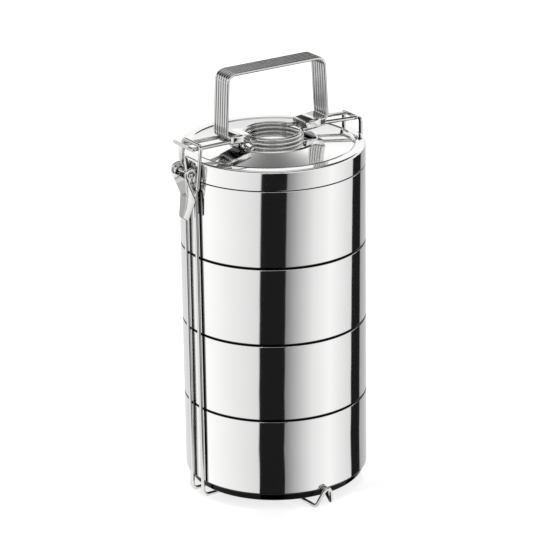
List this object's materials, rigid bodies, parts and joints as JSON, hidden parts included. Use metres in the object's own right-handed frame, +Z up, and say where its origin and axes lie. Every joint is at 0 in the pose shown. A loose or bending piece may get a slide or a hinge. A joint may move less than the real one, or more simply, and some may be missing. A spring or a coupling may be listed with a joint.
{
  "type": "tiffin carrier",
  "caption": "Stacked round steel bowls with a domed lid, held in a bent-wire cradle by a side latch and a hinged top frame with a wire handle.",
  "frame": {"origin": "on the ground under the bowls' axis", "axes": "+Z up along the bowls' axis; -X towards the latch and +X towards the hinge, along the handle; -Y is the front"},
  "size_m": [0.1561, 0.15, 0.3318],
  "materials": {
    "polished_sheet": "mirror-polished stainless steel sheet",
    "pressed_sheet": "bright satin stainless steel sheet",
    "wire": "bright drawn stainless steel wire"
  },
  "bodies": {
    "cradle": {"side_wire_front": "wire", "side_wire_rear": "wire", "foot_wire_front": "wire", "foot_wire_rear": "wire", "lever_pin": "wire"},
    "lever": {"lever": "pressed_sheet"},
    "bowl_1": {"bowl_1": "polished_sheet"},
    "bowl_2": {"bowl_2": "polished_sheet"},
    "bowl_3": {"bowl_3": "polished_sheet"},
    "bowl_4": {"bowl_4": "polished_sheet"},
    "lid": {"lid": "polished_sheet"},
    "top_frame": {"frame_loop_left": "wire", "frame_loop_right": "wire", "sleeve_left": "pressed_sheet", "sleeve_right": "pressed_sheet", "handle_wire_1": "wire", "handle_wire_2": "wire", "handle_wire_3": "wire", "handle_wire_4": "wire", "handle_wire_5": "wire", "handle_wire_6": "wire"},
    "latch_link": {"latch_link": "wire"}
  },
  "joints": [
    {"name": "lever_turn", "type": "hinge", "parent": "cradle", "child": "lever", "pos_m": [-0.0764, 0, 0.2608], "axis": [0, 1, 0], "range_deg": [0, 140]},
    {"name": "bowl_1_lift", "type": "slide", "parent": "cradle", "child": "bowl_1", "axis": [0, 0, 1], "range_m": [0, 0.27]},
    {"name": "bowl_2_lift", "type": "slide", "parent": "bowl_1", "child": "bowl_2", "axis": [0, 0, 1], "range_m": [0, 0.07]},
    {"name": "bowl_3_lift", "type": "slide", "parent": "bowl_2", "child": "bowl_3", "axis": [0, 0, 1], "range_m": [0, 0.07]},
    {"name": "bowl_4_lift", "type": "slide", "parent": "bowl_3", "child": "bowl_4", "axis": [0, 0, 1], "range_m": [0, 0.07]},
    {"name": "lid_lift", "type": "slide", "parent": "bowl_4", "child": "lid", "axis": [0, 0, 1], "range_m": [0, 0.07]},
    {"name": "frame_swing", "type": "hinge", "parent": "lid", "child": "top_frame", "pos_m": [0.0725, 0, 0.2776], "axis": [0, 1, 0], "range_deg": [0, 110]},
    {"name": "link_swing", "type": "hinge", "parent": "top_frame", "child": "latch_link", "pos_m": [-0.0692, 0, 0.2823], "axis": [0, 1, 0], "range_deg": [0, 16]}
  ]
}
